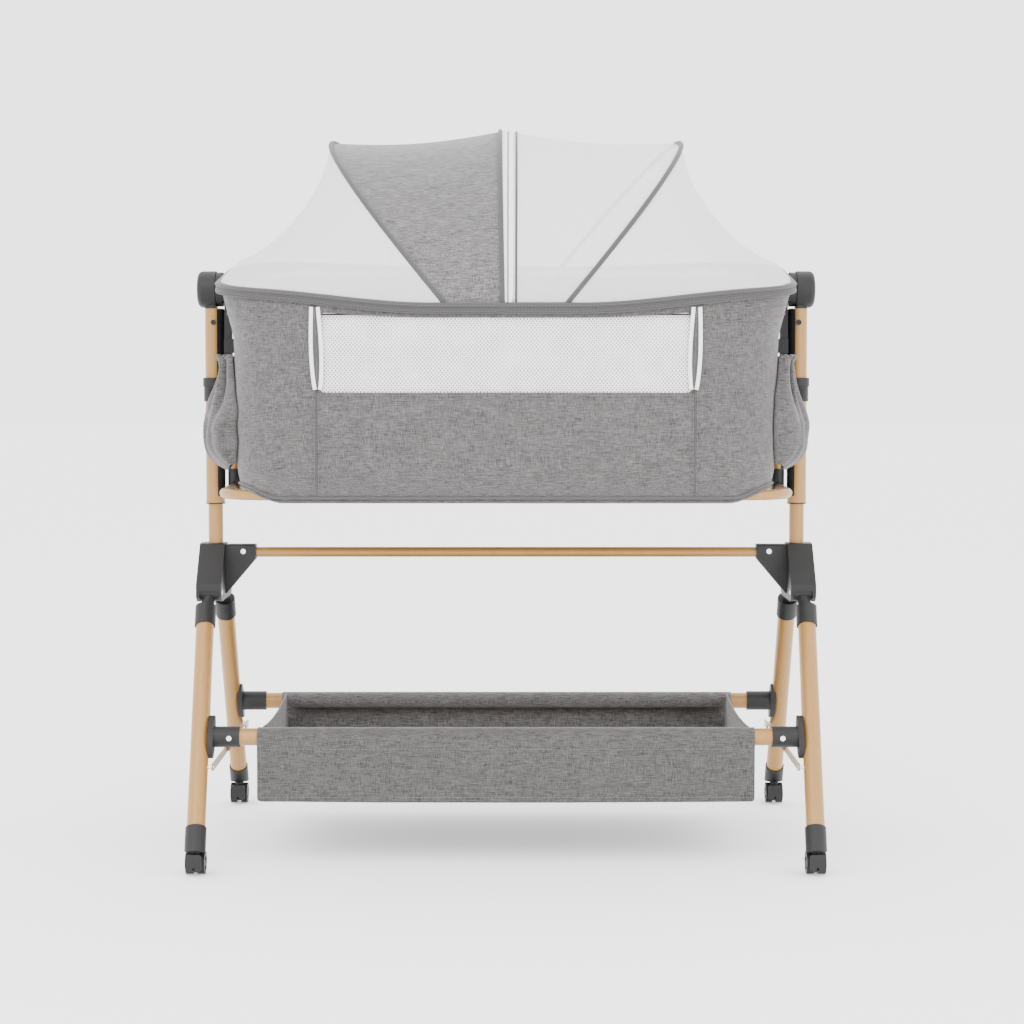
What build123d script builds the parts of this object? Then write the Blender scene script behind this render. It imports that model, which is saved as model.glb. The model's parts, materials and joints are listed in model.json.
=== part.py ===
"""Bedside bassinet on a folding, height-adjustable stand.

Millimetres, +Z up, floor at Z = 0, front (the low side of the bassinet) towards -Y.
The stand, the rocking axis and both cross tubes are symmetric about X = 0 and Y = 0.
"""
import os

from build123d import *

os.makedirs("parts", exist_ok=True)

SIDES = {"left": -1, "right": 1}
ENDS = {"front": -1, "rear": 1}

# Posts and hubs
post_x = 497.0
inner_post_r = 12.5
outer_post_r = 16.0
outer_post_bore = 14.0
inner_post_top = 815.0
outer_post_bottom = 576.0
outer_post_top = 906.5
running_gap = 0.05
hub_top = 507.0
hub_x_in, hub_x_out = 479.5, 522.0
hub_slot_in, hub_slot_out = 483.5, 516.0
hub_outline = [(-21, 507), (21, 507), (80, 441), (80, 420), (66, 412), (-66, 412), (-80, 420), (-80, 441)]
elbow_swing = [(46, 428), (46, 370), (121, 371.7), (75.1, 437.2)]
gusset_outline = [(485, 505), (428, 505), (428, 480), (478, 421), (485, 421)]
gusset_half = 13.0
hub_screw_x = 449.0
upper_tube_z = 491.0
upper_tube_r = 8.5

# Legs: each frame turns on an X axis at (+-leg_pivot_y, leg_pivot_z)
leg_pivot_y = 62.0
leg_pivot_z = 428.0
leg_slope = 0.7
leg_r = 15.0
leg_wall = 1.5
leg_top_z = 392.0
leg_foot_z = 64.0
leg_top_x = {"front": 505.0, "rear": 492.0}
leg_foot_x = {"front": 494.5, "rear": 496.0}
elbow_head_x = 499.75
pin_r = 5.0

# Lower cross tubes, their brackets and the stays
lower_tube_z = 205.0
lower_tube_r = 14.0
barrel_r = 17.0
barrel_in = 434.0
screw_x = 450.0
stay_z = 160.0
stay_pin_r = 3.0
stay_height = 12.0
stay_thick = 2.5
front_stay_x = 473.6
rear_stay_x = 470.2
front_stay_reach = 205.0
stay_travel = 251.0

# Casters
wheel_r = 17.0
hood_r = 19.5
caster_half_width = 15.5
caster_trail = 5.5
caster_offset = 6.0
stem_r = 4.0
cap_bottom = 40.1
pedal_hinge_z = 31.0

# Rocking pivot, hangers and the bassinet's frame
rock_z = 939.0
hanger_x_in, hanger_x_out = 468.0, 478.5
disc_x_in, disc_x_out = 481.5, 492.5
housing_x_in, housing_x_out = 493.0, 524.0
ring_z = 600.0
ring_r = 8.5
ring_x = 464.5
ring_y = 225.0
floor_z = 609.5

# Fabric body: height, half length, half width, corner radius
tub_sections = [
    (590.0, 400.0, 246.0, 60.0),
    (604.0, 424.0, 252.0, 74.0),
    (640.0, 440.0, 262.0, 88.0),
    (860.0, 445.0, 264.0, 90.0),
    (950.0, 470.0, 266.0, 100.0),
    (1005.0, 470.0, 266.0, 100.0),
]
wall = 3.0
rim_mid_z = 944.0
rim_slope = 0.147
window_half = 298.0
window_low, window_high = 766.0, 886.0
skirt_y = 238.0
board_thick = 8.0
mattress_z = floor_z + wall + board_thick + 0.5
mattress_thick = 38.0

# Pocket on each end wall: back, middle, and its height, depth and half width from the bottom up
pocket_x = 446.0
pocket_y = -143.0
pocket_sections = [(650.0, 34.0, 54.0), (690.0, 48.0, 70.0), (760.0, 44.0, 68.0), (822.0, 27.0, 50.0)]

# Canopy arches: base X, top X, top Z, half width at the base
hem_gap = 1.2
hem_thick = 2.0
hoop_r = 2.5
hoop_half = 246.0
hoop_top_inset = 6.0
cloth = 1.6
arch_end = (-464.0, -466.0, 955.0, 150.0)
arch_low = (-405.0, -412.0, 1004.0, 240.0)
arch_mid = (-300.0, -352.0, 1064.0, 262.0)
arch_side = (-96.0, -296.0, 1184.0, 263.0)
arch_centre = (-5.0, -10.0, 1204.0, 263.0)
arch_zip_out = (16.0, 17.0, 1202.5, 263.0)


def save(builder, node):
    """Label a finished piece and write it as one STEP file."""
    builder.part.label = node
    export_step(builder.part, f"parts/{node}.step")


def rod(start, end, radius, mode=Mode.ADD):
    """Round bar between two points."""
    run = Vector(*end) - Vector(*start)
    with BuildSketch(Plane(origin=start, z_dir=run)) as section:
        Circle(radius)
    extrude(section.sketch, amount=run.length, mode=mode)


def pipe(start, end, radius, bore):
    """Round tube between two points."""
    rod(start, end, radius)
    rod(start, end, bore, Mode.SUBTRACT)


def plate_yz(x_low, x_high, points, mode=Mode.ADD):
    """Polygon in Y and Z, extruded from x_low to x_high."""
    with BuildSketch(Plane.YZ.offset(x_low)) as profile:
        Polygon(*points, align=None)
    extrude(profile.sketch, amount=x_high - x_low, mode=mode)


def block(low, high, mode=Mode.ADD):
    """Box between two corners."""
    size = Vector(*high) - Vector(*low)
    middle = (Vector(*high) + Vector(*low)) / 2
    with Locations(middle):
        Box(size.X, size.Y, size.Z, mode=mode)


def span(side, x_low, x_high):
    """Ordered X limits of a stretch on one side of the object."""
    return sorted((side * x_low, side * x_high))


def leg_point(end, side, z):
    """Point on a leg's centre line at height z."""
    share = (z - leg_foot_z) / (leg_top_z - leg_foot_z)
    x = leg_foot_x[end] + share * (leg_top_x[end] - leg_foot_x[end])
    y = leg_pivot_y + leg_slope * (leg_pivot_z - z)
    return (side * x, ENDS[end] * y, z)


def rim_plane(lift):
    """Sloping plane of the rim, raised by lift, facing up."""
    return Plane(origin=(0, 0, rim_mid_z + lift), x_dir=(1, 0, 0), z_dir=(0, -rim_slope, 1))


# ---------------------------------------------------------------- stand
def make_hubs():
    """Moulded yokes: post socket above, two slots for the elbows below, gusset for the cross tube."""
    with BuildPart() as hubs:
        for side in SIDES.values():
            outer = span(side, hub_x_in, hub_x_out)
            slot = span(side, hub_slot_in, hub_slot_out)
            plate_yz(*outer, hub_outline)
            gusset = [(side * x, z) for x, z in gusset_outline]
            with BuildSketch(Plane.XZ.offset(-gusset_half)) as profile:
                Polygon(*gusset, align=None)
            extrude(profile.sketch, amount=2 * gusset_half)
            for way in ENDS.values():
                plate_yz(*slot, [(way * y, z) for y, z in elbow_swing], Mode.SUBTRACT)
                head = (way * leg_pivot_y, leg_pivot_z)
                rod((slot[0], *head), (slot[1], *head), 16, Mode.SUBTRACT)
                rod((outer[0], *head), (outer[1], *head), pin_r, Mode.SUBTRACT)
            rod((side * post_x, 0, 430), (side * post_x, 0, hub_top), inner_post_r, Mode.SUBTRACT)
            tube_end = (side * 442, 0, upper_tube_z)
            rod((side * 428, 0, upper_tube_z), tube_end, upper_tube_r, Mode.SUBTRACT)
            screw_tip = (side * hub_screw_x, -5, upper_tube_z + 2)
            rod((side * hub_screw_x, -gusset_half, upper_tube_z + 2), screw_tip, 2.5, Mode.SUBTRACT)
        rounded = hubs.edges().filter_by(Axis.X).filter_by(lambda e: e.center().Z > leg_pivot_z + 12)
        fillet(rounded.filter_by(lambda e: e.length > hub_x_out - hub_x_in - 1), 5)
    save(hubs, "hubs")


def make_inner_posts():
    with BuildPart() as posts:
        for side in SIDES.values():
            x = side * post_x
            pipe((x, 0, 430), (x, 0, inner_post_top), inner_post_r, inner_post_r - 1.5)
    save(posts, "inner_posts")


def make_stand_small_parts():
    with BuildPart() as tube:
        pipe((-442, 0, upper_tube_z), (442, 0, upper_tube_z), upper_tube_r, upper_tube_r - 1.2)
    save(tube, "upper_cross_tube")
    with BuildPart() as fasteners:
        for side in SIDES.values():
            x, z = side * hub_screw_x, upper_tube_z + 2
            rod((x, -5, z), (x, -gusset_half, z), 2.5)
            rod((x, -gusset_half, z), (x, -gusset_half - 2.4, z), 4.4)
            rod((x, -gusset_half - 2.4, z), (x, -gusset_half - 0.8, z), 2, Mode.SUBTRACT)
            for way in ENDS.values():
                head = (way * leg_pivot_y, leg_pivot_z)
                rod((side * hub_x_in, *head), (side * hub_x_out, *head), pin_r)
                rod((side * hub_x_out, *head), (side * (hub_x_out + 2), *head), pin_r + 2.5)
    save(fasteners, "hub_fasteners")


# ---------------------------------------------------------------- folding leg frames
def make_legs(end):
    with BuildPart() as legs:
        for side in SIDES.values():
            pipe(leg_point(end, side, leg_foot_z), leg_point(end, side, leg_top_z), leg_r, leg_r - leg_wall)
    save(legs, f"{end}_legs")


def make_elbows(end):
    way = ENDS[end]
    with BuildPart() as elbows:
        for side in SIDES.values():
            head = (way * leg_pivot_y, leg_pivot_z)
            centre = (side * elbow_head_x, *head)
            rod(leg_point(end, side, 374), leg_point(end, side, 404), 17.5)
            rod(centre, leg_point(end, side, 396), 11)
            rod((side * 483.8, *head), (side * 515.7, *head), 15.5)
            rod(leg_point(end, side, 370), leg_point(end, side, leg_top_z), leg_r, Mode.SUBTRACT)
            rod((side * 480, *head), (side * 520, *head), pin_r + running_gap, Mode.SUBTRACT)
    save(elbows, f"{end}_elbows")


def make_cross_tube(end):
    y = ENDS[end] * (leg_pivot_y + leg_slope * (leg_pivot_z - lower_tube_z))
    with BuildPart() as tube:
        pipe((-472, y, lower_tube_z), (472, y, lower_tube_z), lower_tube_r, lower_tube_r - 1.5)
    save(tube, f"{end}_cross_tube")


def make_brackets(end):
    """Barrel that holds the cross tube, with a tall oval flange saddled on the leg."""
    way = ENDS[end]
    y = way * (leg_pivot_y + leg_slope * (leg_pivot_z - lower_tube_z))
    with BuildPart() as brackets:
        for side in SIDES.values():
            plate = Plane(origin=(side * 476, y, lower_tube_z), x_dir=(0, way * leg_slope, -1), z_dir=(side, 0, 0))
            with BuildSketch(plate):
                Ellipse(38, 18)
            extrude(amount=9)
            rod((side * barrel_in, y, lower_tube_z), (side * 476, y, lower_tube_z), barrel_r)
            rod((side * barrel_in, y, lower_tube_z), (side * 472, y, lower_tube_z), lower_tube_r, Mode.SUBTRACT)
            rod(leg_point(end, side, 120), leg_point(end, side, 300), leg_r, Mode.SUBTRACT)
            screw_tip = (side * screw_x, y + way * 10, lower_tube_z)
            rod(screw_tip, (side * screw_x, y + way * 20, lower_tube_z), 2.4, Mode.SUBTRACT)
    save(brackets, f"{end}_brackets")
    with BuildPart() as fasteners:
        base, top = y + way * barrel_r, y + way * (barrel_r + 2.4)
        tip = front_stay_x if end == "front" else rear_stay_x
        for side in SIDES.values():
            x = side * screw_x
            rod((x, y + way * (lower_tube_r + 0.2), lower_tube_z), (x, base, lower_tube_z), 2.4)
            rod((x, base, lower_tube_z), (x, top, lower_tube_z), 4.2)
            rod((x, base + way, lower_tube_z), (x, top, lower_tube_z), 1.8, Mode.SUBTRACT)
            pin_x, pin_y, pin_z = leg_point(end, side, stay_z)
            rod((side * tip, pin_y, pin_z), (pin_x - side * 12, pin_y, pin_z), stay_pin_r)
            rod(leg_point(end, side, 120), leg_point(end, side, 190), leg_r, Mode.SUBTRACT)
    save(fasteners, f"{end}_frame_fasteners")


def caster_stem(end, side):
    """Plan position of a caster's upright stem, just outside the leg's foot."""
    x, y, _ = leg_point(end, side, leg_foot_z)
    return x, y + ENDS[end] * caster_offset


def make_foot_caps(end):
    """Cap over each leg's foot, cut level below, with an upright socket for the caster's stem."""
    with BuildPart() as caps:
        for side in SIDES.values():
            x, y = caster_stem(end, side)
            rod(leg_point(end, side, leg_foot_z - 30), leg_point(end, side, leg_foot_z + 8), 17.0)
            rod((x, y, cap_bottom), (x, y, leg_foot_z), 9.5)
            block((x - 25, y - 60, 0), (x + 25, y + 60, cap_bottom), Mode.SUBTRACT)
            rod(leg_point(end, side, leg_foot_z), leg_point(end, side, leg_foot_z + 30), leg_r, Mode.SUBTRACT)
            rod((x, y, cap_bottom - 2), (x, y, cap_bottom + 15), stem_r + running_gap, Mode.SUBTRACT)
    save(caps, f"{end}_foot_caps")


def make_stays(end):
    """Flat bars between the legs. The front bar's rivet runs in the rear bar's slot."""
    way = ENDS[end]
    x_in = front_stay_x if end == "front" else rear_stay_x
    pivot_y = leg_pivot_y + leg_slope * (leg_pivot_z - stay_z)
    slot_far = 2 * pivot_y - front_stay_reach
    reach = front_stay_reach if end == "front" else slot_far
    with BuildPart() as stays:
        for side in SIDES.values():
            low, high = span(side, x_in, x_in + stay_thick)
            middle = way * (pivot_y - reach / 2)
            with BuildSketch(Plane.YZ.offset(low)):
                with Locations((middle, stay_z)):
                    SlotCenterToCenter(reach, stay_height)
            extrude(amount=high - low)
            rod((low, way * pivot_y, stay_z), (high, way * pivot_y, stay_z), stay_pin_r + running_gap, Mode.SUBTRACT)
            if end == "rear":
                with BuildSketch(Plane.YZ.offset(low)):
                    with Locations((way * (pivot_y - slot_far + stay_travel / 2), stay_z)):
                        SlotCenterToCenter(stay_travel, 2 * stay_pin_r + 0.5)
                extrude(amount=high - low, mode=Mode.SUBTRACT)
            else:
                rivet_y = way * (pivot_y - reach)
                rod((side * (rear_stay_x - 1), rivet_y, stay_z), (side * (x_in + 1), rivet_y, stay_z), stay_pin_r)
    save(stays, f"{end}_stays")


# ---------------------------------------------------------------- casters
def make_caster(end, side_name):
    """Hooded twin-wheel caster: stem and hood, wheel pair on an axle, brake pedal at the front."""
    x, y = caster_stem(end, SIDES[side_name])
    hood_top = wheel_r + hood_r
    axle_y = y + caster_trail
    left, right = x - caster_half_width, x + caster_half_width
    hinge_y = axle_y - hood_r - 3.5
    with BuildPart() as fork:
        rod((left, axle_y, wheel_r), (right, axle_y, wheel_r), hood_r)
        rod((left, axle_y, wheel_r), (right, axle_y, wheel_r), hood_r - 2, Mode.SUBTRACT)
        block((left - 1, axle_y - 30, -5), (right + 1, axle_y + 30, 13), Mode.SUBTRACT)
        rod((x - 3, axle_y, wheel_r), (x + 3, axle_y, wheel_r), 13)
        block((x - 3, axle_y - 10, 24), (x + 3, axle_y + 10, hood_top - 1))
        block((x - 6, hinge_y - 2.5, pedal_hinge_z - 3), (x + 6, axle_y - 13, pedal_hinge_z + 3))
        for inner, outer in ((x - 3.2, left), (x + 3.2, right)):
            rod((inner, axle_y, wheel_r), (outer, axle_y, wheel_r), wheel_r + 0.8, Mode.SUBTRACT)
        rod((x, y, hood_top - 2), (x, y, cap_bottom - 0.6), 8)
        rod((x, y, hood_top), (x, y, cap_bottom + 13), stem_r)
        rod((x - 3, axle_y, wheel_r), (x + 3, axle_y, wheel_r), 3 + running_gap, Mode.SUBTRACT)
        rod((x - 7, hinge_y, pedal_hinge_z), (x + 7, hinge_y, pedal_hinge_z), 1.5 + running_gap, Mode.SUBTRACT)
    save(fork, f"caster_fork_{end}_{side_name}")
    with BuildPart() as wheels:
        rod((left, axle_y, wheel_r), (right, axle_y, wheel_r), 3)
        for inner, outer, way in ((x - 3.6, left, 1), (x + 3.6, right, -1)):
            rod((inner, axle_y, wheel_r), (outer, axle_y, wheel_r), wheel_r)
            dish = outer + way * 3
            rod((dish, axle_y, wheel_r), (outer, axle_y, wheel_r), wheel_r - 6, Mode.SUBTRACT)
            rod((dish, axle_y, wheel_r), (outer, axle_y, wheel_r), 5)
    save(wheels, f"caster_wheels_{end}_{side_name}")
    with BuildPart() as pedal:
        face = hinge_y - 3.5
        block((x - 12, face - 4, 8), (x + 12, face, 36))
        fillet(pedal.edges().filter_by(Axis.Y), 5)
        rod((x, face + 1, 13), (x, face - 6, 13), 2.2, Mode.SUBTRACT)
        for ear_low, ear_high in ((x - 9.4, x - 6.4), (x + 6.4, x + 9.4)):
            block((ear_low, face - 1, pedal_hinge_z - 3), (ear_high, hinge_y + 2.2, pedal_hinge_z + 3))
        rod((x - 9.4, hinge_y, pedal_hinge_z), (x + 9.4, hinge_y, pedal_hinge_z), 1.5)
    save(pedal, f"caster_pedal_{end}_{side_name}")


# ---------------------------------------------------------------- height carrier
def make_carrier():
    """Outer posts with their bushes, lock collars and the housings of the rocking pivots."""
    with BuildPart() as posts:
        for x in (-post_x, post_x):
            pipe((x, 0, outer_post_bottom), (x, 0, outer_post_top), outer_post_r, outer_post_bore)
    save(posts, "outer_posts")
    with BuildPart() as bushes:
        for x in (-post_x, post_x):
            low, flange, high = outer_post_bottom - 2, outer_post_bottom, outer_post_bottom + 24
            pipe((x, 0, low), (x, 0, high), outer_post_bore, inner_post_r + running_gap)
            pipe((x, 0, low), (x, 0, flange), outer_post_r + 0.6, inner_post_r + running_gap)
    save(bushes, "post_bushes")
    with BuildPart() as collars:
        for side in SIDES.values():
            x = side * post_x
            rod((x, 0, 749), (x, 0, 776), outer_post_r + 2.6)
            rod((x, 0, 774), (x, 0, 789), outer_post_r + 4.2)
            block((x - 8, -23, 754), (x + 8, -13, 770))
            rod((x, 0, 749), (x, 0, 789), outer_post_r, Mode.SUBTRACT)
            rod((x, -24, 762), (x, -10, 762), 5.3, Mode.SUBTRACT)
            low, high = span(side, post_x - 24, post_x - 13.5)
            block((low, -30, 740), (high, 30, 795), Mode.SUBTRACT)
    save(collars, "lock_collars")
    with BuildPart() as housings:
        for side in SIDES.values():
            rod((side * housing_x_in, 0, rock_z), (side * housing_x_out, 0, rock_z), 31)
            x = side * post_x
            rod((x, 0, outer_post_top - 22), (x, 0, outer_post_top), outer_post_bore)
            rod((x, 0, outer_post_top), (x, 0, outer_post_top + 6), outer_post_r)
            low, high = span(side, 470, housing_x_in)
            block((low, -40, outer_post_top), (high, 40, outer_post_top + 20), Mode.SUBTRACT)
            bore_end = (side * (housing_x_in + 18), 0, rock_z)
            rod((side * housing_x_in, 0, rock_z), bore_end, 6 + running_gap, Mode.SUBTRACT)
        outer_rims = housings.edges().filter_by(GeomType.CIRCLE)
        fillet(outer_rims.filter_by(lambda e: abs(e.center().X) > housing_x_out - 0.1), 9)
    save(housings, "pivot_housings")


def make_lock_button(side_name):
    x = SIDES[side_name] * post_x
    with BuildPart() as button:
        rod((x, -25.5, 762), (x, -19.6, 762), 5.2)
    save(button, f"lock_button_{side_name}")


def make_post_trim():
    """Plastic strips down the posts' inner sides, and a blind plug near each post's top."""
    with BuildPart() as trim:
        for side in SIDES.values():
            x = side * post_x
            for bottom, top in ((588, 748.5), (789.5, 905)):
                rod((x, 0, bottom), (x, 0, top), outer_post_r + 1.1)
            far_low, far_high = span(side, post_x - 6, post_x + 20)
            block((far_low, -20, 580), (far_high, 20, 910), Mode.SUBTRACT)
            rod((x, -12, 883), (x, -18.2, 883), 4.5)
            rod((x, 0, 580), (x, 0, 910), outer_post_r, Mode.SUBTRACT)
    save(trim, "post_trim")


# ---------------------------------------------------------------- bassinet frame
def make_hangers():
    """Hanger arms: a disc on the rocking axis, cranked inwards to an arm that clamps the end tube."""
    with BuildPart() as hangers:
        for side in SIDES.values():
            low, high = span(side, hanger_x_in, hanger_x_out)
            plate_yz(low, high, [(-12, 742), (12, 742), (18, 830), (13, 919), (-13, 919), (-18, 830)])
            rod((side * ring_x, 0, 742), (side * ring_x, 0, 796), 11)
            rod((side * disc_x_in, 0, rock_z), (side * disc_x_out, 0, rock_z), 29)
            low, high = span(side, hanger_x_in, disc_x_in + 2)
            block((low, -13, 912.5), (high, 13, 919))
            low, high = span(side, 462, hanger_x_out)
            block((low, -24, 831), (high, -14, 855))
            rod((side * ring_x, 0, 740), (side * ring_x, 0, 788), ring_r, Mode.SUBTRACT)
            rod((side * disc_x_in, 0, rock_z), (side * disc_x_out, 0, rock_z), 6, Mode.SUBTRACT)
    save(hangers, "hangers")


def make_bassinet_frame():
    with BuildPart() as rock_pins:
        for side in SIDES.values():
            rod((side * disc_x_in, 0, rock_z), (side * (housing_x_in + 17), 0, rock_z), 6)
    save(rock_pins, "rocking_pins")
    with BuildSketch(Plane.XY.offset(ring_z)) as outline:
        RectangleRounded(2 * ring_x, 2 * ring_y, 85)
    path = outline.sketch.wires()[0]
    with BuildPart() as ring:
        with BuildSketch(Plane(origin=path @ 0, z_dir=path % 0)) as section:
            Circle(ring_r)
        sweep(section.sketch, path=path)
    save(ring, "bottom_ring")
    with BuildPart() as connectors:
        for side in SIDES.values():
            rod((side * ring_x, -26, ring_z), (side * ring_x, 26, ring_z), ring_r + 2.5)
            rod((side * ring_x, 0, ring_z), (side * ring_x, 0, ring_z + 34), ring_r + 2.5)
            rod((side * ring_x, -26, ring_z), (side * ring_x, 26, ring_z), ring_r, Mode.SUBTRACT)
            rod((side * ring_x, 0, ring_z + 12), (side * ring_x, 0, ring_z + 34), ring_r, Mode.SUBTRACT)
    save(connectors, "corner_connectors")
    with BuildPart() as tubes:
        for side in SIDES.values():
            pipe((side * ring_x, 0, ring_z + 12), (side * ring_x, 0, 788), ring_r, ring_r - 1.2)
    save(tubes, "end_tubes")


# ---------------------------------------------------------------- fabric body
def tub(grow, lift=0.0, mode=Mode.ADD):
    """Flared tub through the body's sections, grown sideways and lifted."""
    sections = []
    for z, half_length, half_width, corner in tub_sections:
        with BuildSketch(Plane.XY.offset(z + lift)) as section:
            RectangleRounded(2 * (half_length + grow), 2 * (half_width + grow), corner + grow)
        sections.append(section.sketch)
    loft(sections, ruled=True, mode=mode)


def make_body():
    with BuildPart() as hollow:
        tub(-wall)
        block((-600, -400, 500), (600, 400, floor_z + wall), Mode.SUBTRACT)
    with BuildPart() as shell:
        tub(0)
        add(hollow.part, mode=Mode.SUBTRACT)
        split(bisect_by=rim_plane(0), keep=Keep.BOTTOM)
        block((-600, -skirt_y, 580), (600, skirt_y, floor_z), Mode.SUBTRACT)
        block((-window_half, -300, window_low), (window_half, -200, window_high), Mode.SUBTRACT)
    save(shell, "body_shell")
    with BuildPart() as mesh:
        tub(-0.8)
        tub(-2.2, -1, Mode.SUBTRACT)
        block((-window_half, -300, window_low), (window_half, -200, window_high), Mode.INTERSECT)
    save(mesh, "window_mesh")
    with BuildPart() as rail:
        tub(-wall)
        tub(-wall - 11, -2, Mode.SUBTRACT)
        split(bisect_by=rim_plane(-1), keep=Keep.BOTTOM)
        split(bisect_by=rim_plane(-13), keep=Keep.TOP)
    save(rail, "top_rail")
    with BuildPart() as board:
        with BuildSketch(Plane.XY.offset(floor_z + wall)):
            RectangleRounded(812, 480, 62)
        extrude(amount=board_thick)
    save(board, "base_board")
    with BuildPart() as mattress:
        with BuildSketch(Plane.XY.offset(mattress_z)):
            RectangleRounded(818, 482, 66)
        extrude(amount=mattress_thick)
        fillet(mattress.edges().group_by(Axis.Z)[-1], 10)
    save(mattress, "mattress")


def make_pockets():
    """Gathered pockets on the end walls: open at the top, fuller towards the bottom."""

    def bag(side, inset, mode):
        sections = []
        for z, depth, half in pocket_sections:
            level = z + inset if z == pocket_sections[0][0] else z
            with BuildSketch(Plane.XY.offset(level)) as section:
                with Locations((side * (pocket_x + depth / 2), pocket_y)):
                    RectangleRounded(depth - 2 * inset, 2 * (half - inset), 6)
            sections.append(section.sketch)
        loft(sections, ruled=True, mode=mode)

    with BuildPart() as pockets:
        for side in SIDES.values():
            bag(side, 0, Mode.ADD)
            bag(side, 2.5, Mode.SUBTRACT)
    save(pockets, "side_pockets")


# ---------------------------------------------------------------- basket
def make_basket():
    y_tube = leg_pivot_y + leg_slope * (leg_pivot_z - lower_tube_z)
    sleeve_r = lower_tube_r + 1.6
    for end, way in ENDS.items():
        with BuildPart() as panel:
            rod((-405, way * y_tube, lower_tube_z), (405, way * y_tube, lower_tube_z), sleeve_r)
            near, far = sorted((way * (y_tube + lower_tube_r), way * (y_tube + sleeve_r)))
            block((-405, near, 101), (405, far, lower_tube_z))
            rod((-405, way * y_tube, lower_tube_z), (405, way * y_tube, lower_tube_z), lower_tube_r, Mode.SUBTRACT)
        save(panel, f"basket_{end}_panel")
    with BuildPart() as liner:
        depth = y_tube + lower_tube_r - 0.6
        block((-400, -depth, 101), (400, depth, 103))
        for side in SIDES.values():
            low, high = span(side, 396, 398)
            block((low, -y_tube + sleeve_r + 1, 103), (high, y_tube - sleeve_r - 1, 218))
    save(liner, "basket_liner")


# ---------------------------------------------------------------- canopy
def mirrored(arch):
    base_x, top_x, top_z, half = arch
    return (-base_x, -top_x, top_z, half)


def arch_plane(arch):
    """Plane through an arch's base line, which lies across the rim, and its top."""
    base_x, top_x, top_z, half = arch
    base_dir = Vector(0, 1, rim_slope)
    rise = Vector(top_x - base_x, 0, top_z - rim_mid_z)
    return Plane(origin=(base_x, 0, rim_mid_z + 0.8), x_dir=base_dir, z_dir=base_dir.cross(rise))


def arch_outline(arch, half, top_inset):
    """Front foot, top and rear foot of an arch, in the arch's own plane."""
    top = arch_plane(arch).to_local_coords(Vector(arch[1], 0, arch[2]))
    return (-half, 0), (top.X, top.Y - top_inset), (half, 0)


def arch_face(arch, inset):
    front, top, rear = arch_outline(arch, arch[3] - inset, inset)
    with BuildSketch(arch_plane(arch)) as face:
        with BuildLine():
            Spline(front, top, rear, tangents=[(0.12, 1), (0.12, -1)])
            Line(rear, front)
        make_face()
    return face.sketch


def sheet(arches):
    """Thin shell lofted over a row of arches."""
    loft([arch_face(arch, 0) for arch in arches], ruled=True)
    loft([arch_face(arch, cloth) for arch in arches], ruled=True, mode=Mode.SUBTRACT)


def hoop_feet(arch):
    """Where a hoop meets the rim, front and rear."""
    plane = arch_plane(arch)
    front, top, rear = arch_outline(arch, hoop_half, hoop_top_inset)
    return [tuple(plane.from_local_coords(Vector(*foot))) for foot in (front, rear)]


def hoop(arch):
    """Sprung rod just under the cloth along an arch, with an upright stub at each foot."""
    plane = arch_plane(arch)
    points = [plane.from_local_coords(Vector(*p)) for p in arch_outline(arch, hoop_half, hoop_top_inset)]
    ends_rise = [plane.x_dir * way * 0.12 + plane.y_dir for way in (1, -1)]
    with BuildPart() as bow_part:
        with BuildLine() as line:
            Spline(*points, tangents=[ends_rise[0], ends_rise[1] * -1])
        bow = line.wires()[0]
        with BuildSketch(Plane(origin=bow @ 0, z_dir=bow % 0)):
            Circle(hoop_r)
        sweep(path=bow)
        for x, y, z in hoop_feet(arch):
            rod((x, y, z - 13), (x, y, z + 2), hoop_r)
    return bow_part


def make_canopy():
    with BuildPart() as shade:
        sheet([arch_side, arch_centre])
    save(shade, "canopy_shade")
    with BuildPart() as net_left:
        sheet([arch_end, arch_low, arch_mid, arch_side])
    save(net_left, "canopy_net_left")
    with BuildPart() as net_right:
        row = [mirrored(a) for a in (arch_side, arch_mid, arch_low, arch_end)]
        sheet([arch_zip_out] + row)
    save(net_right, "canopy_net_right")
    with BuildPart() as zip_strip:
        sheet([arch_centre, arch_zip_out])
    save(zip_strip, "canopy_zip_strip")
    left_hoop = hoop(arch_side)
    save(left_hoop, "hoop_left")
    save(hoop(arch_centre), "hoop_centre")
    with BuildPart() as right_hoop:
        mirror(left_hoop.part, about=Plane.YZ)
    save(right_hoop, "hoop_right")
    with BuildPart() as hem:
        outer_length, outer_width = tub_sections[-1][1], tub_sections[-1][2]
        with BuildSketch(Plane.XY.offset(850)):
            for grow, mode in ((hem_gap + hem_thick, Mode.ADD), (hem_gap, Mode.SUBTRACT)):
                RectangleRounded(2 * (outer_length + grow), 2 * (outer_width + grow), 100 + grow, mode=mode)
        extrude(amount=200)
        split(bisect_by=rim_plane(3), keep=Keep.BOTTOM)
        split(bisect_by=rim_plane(-19), keep=Keep.TOP)
    save(hem, "canopy_hem")


def make_hoop_sockets():
    """Sockets hung inside the rail that take the feet of the three hoops."""
    with BuildPart() as sockets:
        for arch in (arch_side, arch_centre, mirrored(arch_side)):
            for x, y, z in hoop_feet(arch):
                rod((x, y, z - 17), (x, y, z - 3), 4.6)
                rod((x, y, z - 15), (x, y, z), hoop_r + running_gap, Mode.SUBTRACT)
    save(sockets, "hoop_sockets")


make_hubs()
make_inner_posts()
make_stand_small_parts()
for end_name in ENDS:
    make_legs(end_name)
    make_elbows(end_name)
    make_cross_tube(end_name)
    make_brackets(end_name)
    make_foot_caps(end_name)
    make_stays(end_name)
    for side_name in SIDES:
        make_caster(end_name, side_name)
make_carrier()
make_post_trim()
for side_name in SIDES:
    make_lock_button(side_name)
make_hangers()
make_bassinet_frame()
make_body()
make_pockets()
make_basket()
make_canopy()
make_hoop_sockets()
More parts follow.
